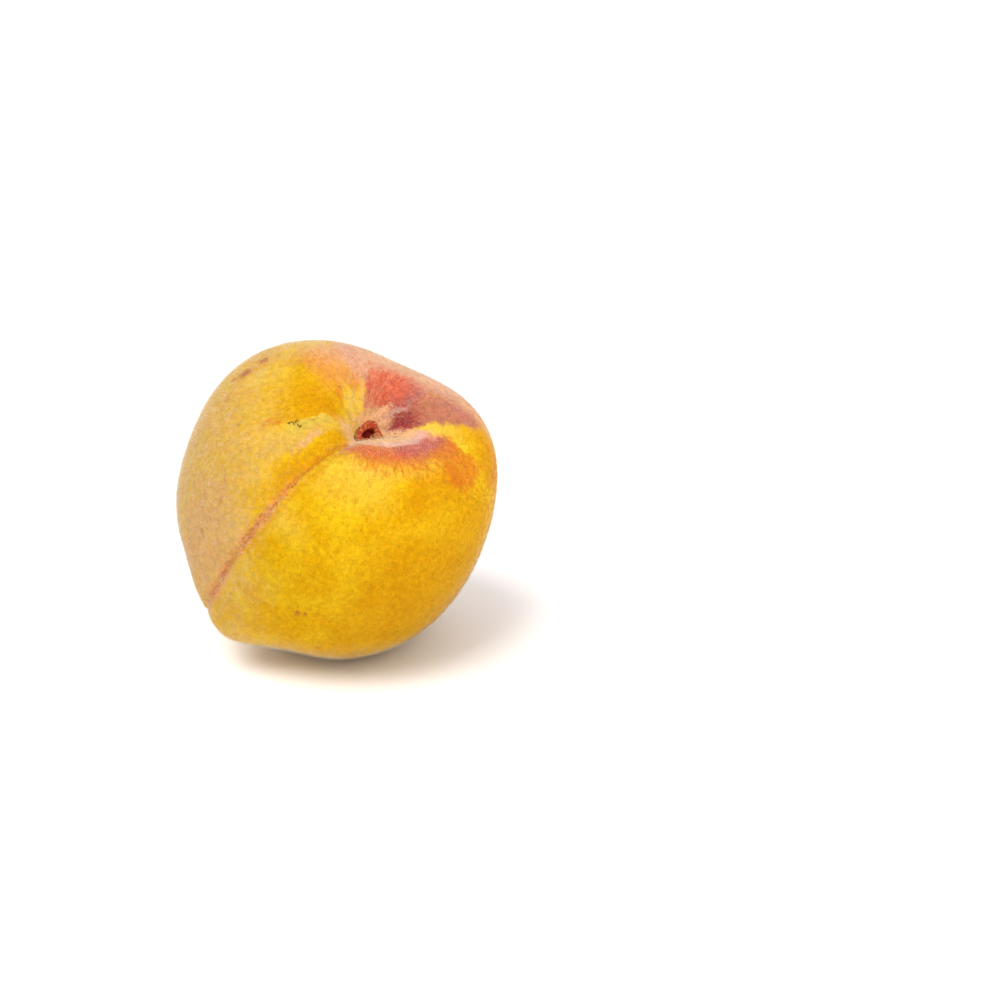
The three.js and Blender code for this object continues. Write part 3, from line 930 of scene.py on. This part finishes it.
draw = np.random.default_rng(20)  # every random number after this comes from here, in order
triangles = np.concatenate([quads[:, [0, 1, 2]], quads[:, [0, 2, 3]], caps])
corner = place[triangles]
facing = np.cross(corner[:, 1] - corner[:, 0], corner[:, 2] - corner[:, 0])
area = np.linalg.norm(facing, axis=1) / 2
point_normal = np.zeros_like(place)
for k in range(3):
    np.add.at(point_normal, triangles[:, k], facing)
point_normal /= np.linalg.norm(point_normal, axis=1, keepdims=True)


def scatter(count):
    """Triangles and the weights of their corners, evenly over the skin."""
    chosen = draw.choice(len(triangles), count, p=area / area.sum())
    first, second = draw.random((2, count))
    folded = first + second > 1
    first, second = np.where(folded, 1 - first, first), np.where(folded, 1 - second, second)
    return chosen, np.stack([1 - first - second, first, second], -1)


def blended(values, chosen, weights):
    """The value at each scattered place, from the corners of its triangle."""
    if values.ndim == 1:
        return (values[triangles[chosen]] * weights).sum(1)
    return (values[triangles[chosen]] * weights[..., None]).sum(1)


print("skin's area, cm2:", round(area.sum() / 100, 1), "hairs a mm2:",
      round(DOWN_PIECES * HAIRS_A_PIECE / area.sum(), 1))

# %% Grow them
def unit(vectors):
    return vectors / np.linalg.norm(vectors, axis=-1, keepdims=True)


def hairs(count):
    """Points of count needles, the blush under each, how pale the down is there (partly a painted sheen),
    and where it is on the chart.
    """
    chosen, weights = scatter(int(count * SPARE_PLACES))
    root = blended(place, chosen, weights)
    height = (root @ LIE.T)[:, 2] + REST_HEIGHT
    bare = (off_plug(root) < BARE_ROUND_STEM) & (root[:, 2] > 0)
    downy = np.flatnonzero(~bare & (height > BARE_ABOVE_FLOOR))[:count]
    chosen, weights, root = chosen[downy], weights[downy], root[downy]
    out = unit(blended(point_normal, chosen, weights))
    tipward = unit(np.cross(np.cross(out, [0, 0, -1.0]) + 1e-9, out))
    tipward = unit(tipward + HAIR_STRAY * draw.normal(size=root.shape))
    tipward = unit(tipward - out * (tipward * out).sum(1, keepdims=True))
    lean = np.radians(draw.uniform(*HAIR_LEAN, len(root)))[:, None]
    way = out * np.cos(lean) + tipward * np.sin(lean)
    side = unit(np.cross(way, tipward))
    other = np.cross(way, side)
    length = draw.uniform(*HAIR_LENGTH, (len(root), 1))
    foot = root - out * ROOT_SINK
    points = [foot + HAIR_RADIUS * (side * np.cos(a) + other * np.sin(a))
              for a in np.radians((0, 120, 240))] + [foot + way * length]
    points = np.stack(points, 1)
    buried = np.maximum(DOWN_LIFT - (points @ LIE[2] + REST_HEIGHT), 0)
    points = points + buried[..., None] * LIE[2]
    return points, blended(reds, chosen, weights), blended(frost_and_sheen, chosen, weights), triangles[chosen, 0]


NEEDLE = np.array([(0, 2, 1), (0, 1, 3), (1, 2, 3), (2, 0, 3)])
CHART_STEP = 1.6 / 1024  # each face has a corner of the chart a little over a pixel wide
CHART_CORNER = np.array([(0, 0), (1, 0), (0, 1)]) * CHART_STEP
grid_row = np.concatenate([[0], np.repeat(np.arange(1, ROWS), COLUMNS), [ROWS]])
grid_column = np.concatenate([[0], np.tile(np.arange(COLUMNS), ROWS - 1), [0]])

down = []
for number in range(DOWN_PIECES):
    points, blush, pale_here, near = hairs(HAIRS_A_PIECE)
    count = len(points)
    faces = (4 * np.arange(count)[:, None, None] + NEEDLE).reshape(-1, 3)
    piece = new_piece(f"down_{number + 1}", points.reshape(-1, 3), faces.tolist())
    keep(piece, "blush", np.repeat(blush, 4))
    keep(piece, "frost_and_sheen", np.repeat(pale_here, 4))
    keep(piece, "place", np.repeat(points[:, 0], 4, axis=0))
    spot = np.stack([grid_column[near] / COLUMNS, 1 - grid_row[near] / ROWS], -1)
    spot = np.clip(spot, 2 * CHART_STEP, 1 - 2 * CHART_STEP)
    chart(piece, (spot[:, None, None] + CHART_CORNER).repeat(4, axis=1))
    down.append(piece)
    print(piece.name, count, "hairs")

# %% Colour of the down: golden where the cheeks face the view and paler elsewhere, partly a painted sheen
GOLDEN_DOWN, STRAW = srgb(206, 156, 6), srgb(222, 200, 158)
FROSTED, PINK_STRAW = srgb(240, 230, 212), srgb(222, 186, 170)
down_material, bench, surface = new_material("pale_down")
at = bench.kept("place", "Vector")
tinged = grains(bench, at, bench.kept("blush"), 0.7, 0.8, 1.3)
frosty = grains(bench, at, bench.kept("frost_and_sheen"), 0.7, 0.8, 1.2)
colour = bench.mix(mottled(bench, at, 2.5), STRAW, FROSTED)
colour = bench.coat(colour, tinged, 0.8, PINK_STRAW)
bench.fill(surface, Base_Color=bench.mix(frosty, GOLDEN_DOWN, colour), Specular_IOR_Level=0.1,
           Roughness=bench.scaled(bench.noise(at, 2.0), 0.3, 0.45))
for piece in down:
    piece.data.materials.append(down_material)
print(down_material.name, "is on", len(down), "pieces")

# %% [markdown]
# ## The plug that the stalk left
#
# When a peach is picked the stalk tears away and leaves a small woody disc deep in the cavity. It has
# a torn brown rim, a reddish bowl of fibres that run to the middle, and a dark hole where the strand
# of veins went in. A turned dish would look machined, so the disc is a round grid whose rim and
# bowl are raised, sunk and torn by noise, with loose fibres and crumbs as pieces of their own.

# %% The plug's torn bowl
BOWL_FLOOR, FOOT_LEVEL, PLUG_END = 22.1, 21.9, 21.5  # above the middle of the fruit
FOOT_TAPER, LEAST_EDGE = 0.9, 1.6
RIM_PROUD, RIM_LINE, EDGE_DROP = 0.06, 0.24, 0.7
RIM_AT, RIM_WIDTH, BOWL_EDGE = 0.93, 0.06, 0.40  # shares of the plug's radius
BOWL_DEPTH, HOLE_RADIUS, HOLE_DEPTH = 1.15, 1.3, 0.85
HOLE_AT = (-0.58, -0.30)  # from the middle of the plug
CORNER_TURN, CORNERED = 234, 0.07
FIBRE_RELIEF, LUMP_RELIEF, SPOKE_LINES = 0.16, 0.1, 6
FLOOR_RADIUS, LEVEL_ROUNDS = 24, 10  # a first guess of the skin's radius here, then closer rounds
PLUG_SPOKES, PLUG_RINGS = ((240, 64))

spoke = np.radians(360) * np.arange(PLUG_SPOKES) / PLUG_SPOKES
outward, angle = np.meshgrid(np.arange(1, PLUG_RINGS + 1) / PLUG_RINGS, spoke, indexing="ij")
flat = np.stack([np.cos(angle), np.sin(angle), 0 * angle], -1)


def on_grid(points, size, seed):
    return noise_field(points.reshape(-1, 3), size, seed).reshape(points.shape[:-1])


def along_spokes(angle, outward):
    """A place for noise that is drawn out along the spokes of the plug."""
    round_plug = SPOKE_LINES * np.cos(angle), SPOKE_LINES * np.sin(angle)
    return np.stack([*round_plug, outward + 0 * angle], -1)


def skin_level(x, y):
    """Height of the skin's main form above the middle of the fruit, at places near the core."""
    off_core, at_turn = np.hypot(x, y), np.degrees(np.arctan2(y, x))
    at_polar = np.degrees(np.arctan(off_core / FLOOR_RADIUS))
    for _ in range(LEVEL_ROUNDS):
        at_polar = np.degrees(np.arcsin(off_core / main_radius(at_polar, at_turn)))
    return main_radius(at_polar, at_turn) * np.cos(np.radians(at_polar))


three_cornered = 1 + CORNERED * np.cos(3 * (angle - math.radians(CORNER_TURN)))
outline = PLUG_RADIUS * three_cornered * (0.99 + 0.05 * on_grid(flat * 3, 1.3, 41))
across = flat * (outward * outline)[..., None]
rim_level = skin_level(across[-1, :, 0] + PLUG_AT[0], across[-1, :, 1] + PLUG_AT[1]) + RIM_PROUD
level = rim_level.mean() + (rim_level - rim_level.mean()) * outward
fibre = on_grid(along_spokes(angle, 0.9 * outward), 0.5, 43)
lumpy = on_grid(across, 0.7, 44)
torn = 1 + 0.9 * on_grid(flat * 3, 0.8, 45)
rim = bell((outward - RIM_AT) / RIM_WIDTH)
inside = 1 - rise(BOWL_EDGE, RIM_AT, outward + 0.05 * lumpy)
from_hole = np.hypot(across[..., 0] - HOLE_AT[0], across[..., 1] - HOLE_AT[1]) + 0.25 * lumpy
in_hole = 1 - rise(0.7 * HOLE_RADIUS, 1.15 * HOLE_RADIUS, from_hole)
# painted shade: darker towards the hole, over its dark tissue
dark = 1 - rise(0.75 * HOLE_RADIUS, 1.4 * HOLE_RADIUS, from_hole)
top = (level - BOWL_DEPTH * inside + RIM_LINE * rim * torn - EDGE_DROP * rise(0.96, 1.0, outward)
       + FIBRE_RELIEF * fibre * rise(0.1, 0.4, outward) + LUMP_RELIEF * lumpy - HOLE_DEPTH * in_hole)
print("rim above the fruit's middle, mm:", rim_level.min().round(1), "to", rim_level.max().round(1))

# %% Its points, from the middle to the rim, then the foot below the skin
upper = np.concatenate([across[..., :2], np.maximum(top, BOWL_FLOOR)[..., None]], -1)
foot_height = np.minimum(FOOT_LEVEL, rim_level - LEAST_EDGE)
foot = np.concatenate([FOOT_TAPER * across[-1, :, :2], foot_height[:, None]], -1)
plug_points = np.concatenate([[[0, 0, upper[0, :, 2].mean()]], upper.reshape(-1, 3), foot,
                              [[0, 0, PLUG_END]]]) + (*PLUG_AT, 0)
plug_quads, plug_caps = closed_grid(PLUG_RINGS + 1, PLUG_SPOKES)
plug = new_piece("stem_scar", plug_points, plug_quads.tolist() + plug_caps.tolist())
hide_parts("stem_remnant")
keep(plug, "place", plug_points)
keep(plug, "outward", np.concatenate([[0], outward.ravel(), 0 * spoke + 1, [1]]))
keep(plug, "hole", np.concatenate([[0.5], dark.ravel(), 0 * spoke, [0]]))
keep(plug, "spoke", np.concatenate([along_spokes(np.zeros(1), 0),
                                    along_spokes(angle, 1.2 * outward).reshape(-1, 3),
                                    along_spokes(spoke, 1), along_spokes(np.zeros(1), 0)]))
print("plug:", len(plug_quads) * 2 + len(plug_caps), "triangles")

# %% [markdown]
# ## Fibres and crumbs
#
# The strand that fed the fruit tore, so short fibres lean from the rim towards the hole, and crumbs
# of dry wood lie on the rim and down the cavity's wall. A noise texture could hint at both, but a
# crumb needs its own shadow. So fibres are tapered tubes, each bent its own way, and crumbs are
# eight-sided grains with uneven corners. All fibres are one piece and all crumbs another.

# %% Torn fibres
FIBRES, FIBRE_RADIUS = 40, (0.04, 0.10)
FIBRE_TAPER = np.array([0.8, 1, 1, 0.9, 0.7, 0.5, 0.2])
FIBRE_SIDE, FIBRE_SPREAD, FIBRE_ROOT = 112, 42, 0.82  # turn, its spread, and a share of the radius
FIBRE_LIFT, FIBRE_DROP, FIBRE_REACH = (-0.05, 0.15), (0.6, 1.3), (0.25, 0.62)
FIBRE_STRAY, FIBRE_BOW, FIBRE_RISE = 0.45, 0.16, (-0.1, 0.22)


def tapered_tube(path, radii, sides=5):
    """A closed tube along a path, with a radius for each of its points, as points and faces."""
    points, faces = [], []
    for k, (at, radius_here) in enumerate(zip(path, radii)):
        along = unit(path[min(k + 1, len(path) - 1)] - path[max(k - 1, 0)])
        side = unit(np.cross(along, [0.3, 0.2, 1.0]))
        other = np.cross(along, side)
        for a in np.radians(360) * np.arange(sides) / sides:
            points.append(at + radius_here * (side * math.cos(a) + other * math.sin(a)))
    for k in range(len(path) - 1):
        for s in range(sides):
            t = (s + 1) % sides
            faces.append([k * sides + s, k * sides + t, (k + 1) * sides + t, (k + 1) * sides + s])
    faces += [list(range(sides))[::-1], [(len(path) - 1) * sides + s for s in range(sides)]]
    return points, faces


def merged(parts):
    """Points and faces of several parts as one."""
    points, faces = [], []
    for part_points, part_faces in parts:
        faces += [[len(points) + corner for corner in face] for face in part_faces]
        points += list(part_points)
    return np.array(points), faces


def plug_point(turn, share):
    """A point of the plug's bowl, at a turn and a share of the way from its middle to its rim."""
    ring, spoke = int(share * PLUG_RINGS), int(turn % 360 / 360 * PLUG_SPOKES)
    return plug_points[1 + ring * PLUG_SPOKES + spoke]


hole_middle = np.add(PLUG_AT, HOLE_AT)
strands = []
for _ in range(FIBRES):
    start = plug_point(draw.normal(FIBRE_SIDE, FIBRE_SPREAD), FIBRE_ROOT)
    start = start + (0, 0, draw.uniform(*FIBRE_LIFT))
    end = np.array([*(hole_middle + draw.normal(0, FIBRE_STRAY, 2)),
                    rim_level.mean() - draw.uniform(*FIBRE_DROP)])
    steps = np.linspace(0, draw.uniform(*FIBRE_REACH), len(FIBRE_TAPER))[:, None]
    bow = np.array([*draw.normal(0, FIBRE_BOW, 2), draw.uniform(*FIBRE_RISE)])
    path = start * (1 - steps) + end * steps + bow * np.sin(np.pi * steps)
    strands.append(tapered_tube(path, draw.uniform(*FIBRE_RADIUS) * FIBRE_TAPER))
fibre_points, fibre_faces = merged(strands)
fibres = new_piece("stem_fibres", fibre_points, fibre_faces)
keep(fibres, "place", fibre_points)
print("fibres:", FIBRES)

# %% Crumbs of wood, on the rim and on the cavity's wall
CRUMBS, CRUMB_SIZE = 170, (0.07, 0.23)
RIM_TURNS, RIM_RINGS = (-110, 125), (0.86, 0.98)
WALL_POLAR, WALL_TURN, WALL_SPREAD = (10, 19), 117, 10
CRUMB_STRETCH, CRUMB_ROUGHNESS = (0.6, 1.4), (0.8, 1.2)
BALL = [(-1, 0, 0), (1, 0, 0), (0, -1, 0), (0, 1, 0), (0, 0, -1), (0, 0, 1)]
BALL_FACES = [(1, 3, 5), (3, 0, 5), (0, 2, 5), (2, 1, 5), (3, 1, 4), (0, 3, 4), (2, 0, 4), (1, 2, 4)]
chips = []
for number in range(CRUMBS):
    size = draw.uniform(*CRUMB_SIZE)
    stretch = draw.uniform(*CRUMB_STRETCH, 3) * size
    if number % 3:
        spot = plug_point(draw.uniform(*RIM_TURNS), draw.uniform(*RIM_RINGS))
    else:
        spot = on_skin_at(draw.uniform(*WALL_POLAR), draw.normal(WALL_TURN, WALL_SPREAD))
    rough = draw.uniform(*CRUMB_ROUGHNESS, (len(BALL), 1))
    chips.append((spot + np.array(BALL) * stretch * rough, BALL_FACES))
crumb_points, crumb_faces = merged(chips)
crumbs = new_piece("cavity_crumbs", crumb_points, crumb_faces)
keep(crumbs, "place", crumb_points)
print("crumbs:", CRUMBS)

# %% [markdown]
# ## Torn wood
#
# The plug is brick red and tan along its torn fibres, browner on the rim and nearly black red down
# the hole, its dark tissue deepened by painted shade. A plain brown would hide how it tore. The
# colours follow noise that is drawn out along the spokes, and the rim and the hole are numbers kept
# on the mesh.

# %% Colours of the torn wood
RIM_BROWN, BRICK, DARK_HOLE_AND_SHADE = srgb(132, 66, 34), srgb(174, 64, 36), srgb(92, 8, 2)
TORN_TAN, RAW_CREAM, CRUMB_BROWN = srgb(190, 122, 76), srgb(214, 160, 104), srgb(84, 40, 18)
PALE_CRUMB = srgb(232, 186, 128)

plug_material, bench, surface = new_material("torn_stem_wood")
at, radial = bench.kept("place", "Vector"), bench.kept("spoke", "Vector")
outwards = bench.kept("outward")
strand = bench.noise(radial, 1.5, 3.0, 0.65)
colour = bench.mix(bench.step(strand, 0.5, 0.74), BRICK, TORN_TAN)
colour = bench.coat(colour, mottled(bench, at, 0.42, 0.62), bench.step(outwards, 0.35, 0.8), RAW_CREAM)
ragged = bench.scaled(bench.noise(at, 1 / 0.45, 2.0, 0.6), 0.9, outwards)
colour = bench.coat(colour, bench.step(ragged, 1.38, 1.48), 0.8, RIM_BROWN)
colour = bench.coat(colour, mottled(bench, radial, 0.3, 0.58), 0.7, CRUMB_BROWN)
# nearly black red down the hole: dark tissue and painted shade of its depth
colour = bench.mix(bench.step(bench.kept("hole"), 0.25, 0.85), colour, DARK_HOLE_AND_SHADE)
bench.fill(surface, Base_Color=colour, Roughness=bench.scaled(strand, 0.3, 0.55),
           Specular_IOR_Level=0.12, Normal=bench.bump(strand, 0.8, 0.09))
plug.data.materials.append(plug_material)
print(plug_material.name, "has", len(plug_material.node_tree.nodes), "nodes")

# %% Plainer wood for the fibres and crumbs
def plain_wood(name, first, second, size):
    material, bench, surface = new_material(name)
    clouds = mottled(bench, bench.kept("place", "Vector"), size)
    bench.fill(surface, Base_Color=bench.mix(clouds, first, second), Specular_IOR_Level=0.12,
               Roughness=bench.scaled(clouds, 0.2, 0.6))
    return material


fibres.data.materials.append(plain_wood("torn_fibre", TORN_TAN, RAW_CREAM, 0.5))
crumbs.data.materials.append(plain_wood("torn_crumb", CRUMB_BROWN, PALE_CRUMB, 0.55))
print("materials:", len(bpy.data.materials))

# %% [markdown]
# ## Floor, light and camera
#
# The fruit lies on a plain white sweep in the light of a big soft window from the upper right. A
# long lens from a little above shows the cavity and the suture together. The floor has to be bright
# enough to vanish into the background, so only the soft shadow beside the fruit is left of it. A
# second lamp lights nothing but the paper, from more overhead: it keeps that shadow short.

# %% Floor
FLOOR_SIZE, PAPER_WHITE = 6.0, (0.96, 0.96, 0.96, 1)
bpy.ops.mesh.primitive_plane_add(size=FLOOR_SIZE, location=(0, 0, 0))
floor = bpy.context.object
floor.name = "white_floor"
floor_material, bench, surface = new_material("white_paper")
bench.fill(surface, Base_Color=PAPER_WHITE, Roughness=0.9)
floor.data.materials.append(floor_material)
print("floor:", FLOOR_SIZE, "m wide")

# %% The pale room
ROOM_LIGHT, ROOM_SEEN = 0.94, 1.05  # as the fruit and the floor have it, and as the camera sees it
world = bpy.data.worlds.new("soft_room")
scene.world = world
world.use_nodes = True
room = Bench(world.node_tree)
seen = room.add("ShaderNodeLightPath").outputs["Is Camera Ray"]
walls = room.add("ShaderNodeBackground", None, Color=(1, 1, 1, 1),
                 Strength=room.scaled(seen, ROOM_SEEN - ROOM_LIGHT, ROOM_LIGHT))
room.add("ShaderNodeOutputWorld", None, Surface=walls.outputs[0])
print("room:", ROOM_LIGHT, "and to the camera", ROOM_SEEN)

# %% Camera
AZIMUTH, ELEVATION, DISTANCE = math.radians(-36.8), math.radians(22), 0.560
LENS, SENSOR_WIDTH, NEAREST = 85, 36, 0.01
AIM_ASIDE, AIM_DOWN = 0.0392, 0.00046  # the fruit stands left of the middle of the view
back = Vector((math.sin(AZIMUTH) * math.cos(ELEVATION), -math.cos(AZIMUTH) * math.cos(ELEVATION),
               math.sin(ELEVATION)))
right = Vector((math.cos(AZIMUTH), math.sin(AZIMUTH), 0))
up = back.cross(right)
camera_data = bpy.data.cameras.new("camera")
camera_data.lens, camera_data.sensor_width, camera_data.clip_start = LENS, SENSOR_WIDTH, NEAREST
camera = bpy.data.objects.new("camera", camera_data)
camera.location = Vector(middle * MM) + AIM_ASIDE * right - AIM_DOWN * up + DISTANCE * back
camera.rotation_euler = (-back).to_track_quat("-Z", "Y").to_euler()
scene.collection.objects.link(camera)
scene.camera = camera
print("camera:", LENS, "mm lens,", DISTANCE, "m from the fruit")

# %% Lamps
LAMP_DISTANCE, LAMP_SIZE, LAMP_AIM = 4.0, 2.6, Vector((0, 0, 0.04))


def soft_light(name, toward, watts):
    """A square soft light, aimed at the fruit from a direction given as right, up and back shares."""
    lamp = bpy.data.lights.new(name, "AREA")
    lamp.size, lamp.energy = LAMP_SIZE, watts
    holder = bpy.data.objects.new(name, lamp)
    way = (toward[0] * right + toward[1] * Vector((0, 0, 1)) + toward[2] * back).normalized()
    holder.location = LAMP_AIM + way * LAMP_DISTANCE
    holder.rotation_euler = way.to_track_quat("Z", "Y").to_euler()
    scene.collection.objects.link(holder)
    return holder


def light_on_paper(lamp, wanted):
    """Keeps one lamp's light off the paper, or makes the paper all that the lamp lights."""
    paper = bpy.data.collections.new(lamp.name + "_paper")
    paper.objects.link(floor)
    paper.collection_objects[0].light_linking.link_state = "INCLUDE" if wanted else "EXCLUDE"
    lamp.light_linking.receiver_collection = paper


window_lamp = soft_light("window", (0.5, 1.15, 0.75), 145)
paper_lamp = soft_light("paper_light", (-0.7, 1.4, 0.8), 150)
light_on_paper(window_lamp, wanted=False)
light_on_paper(paper_lamp, wanted=True)
scene.view_settings.view_transform = "Standard"
print("lamps:", window_lamp.name, "and", paper_lamp.name)
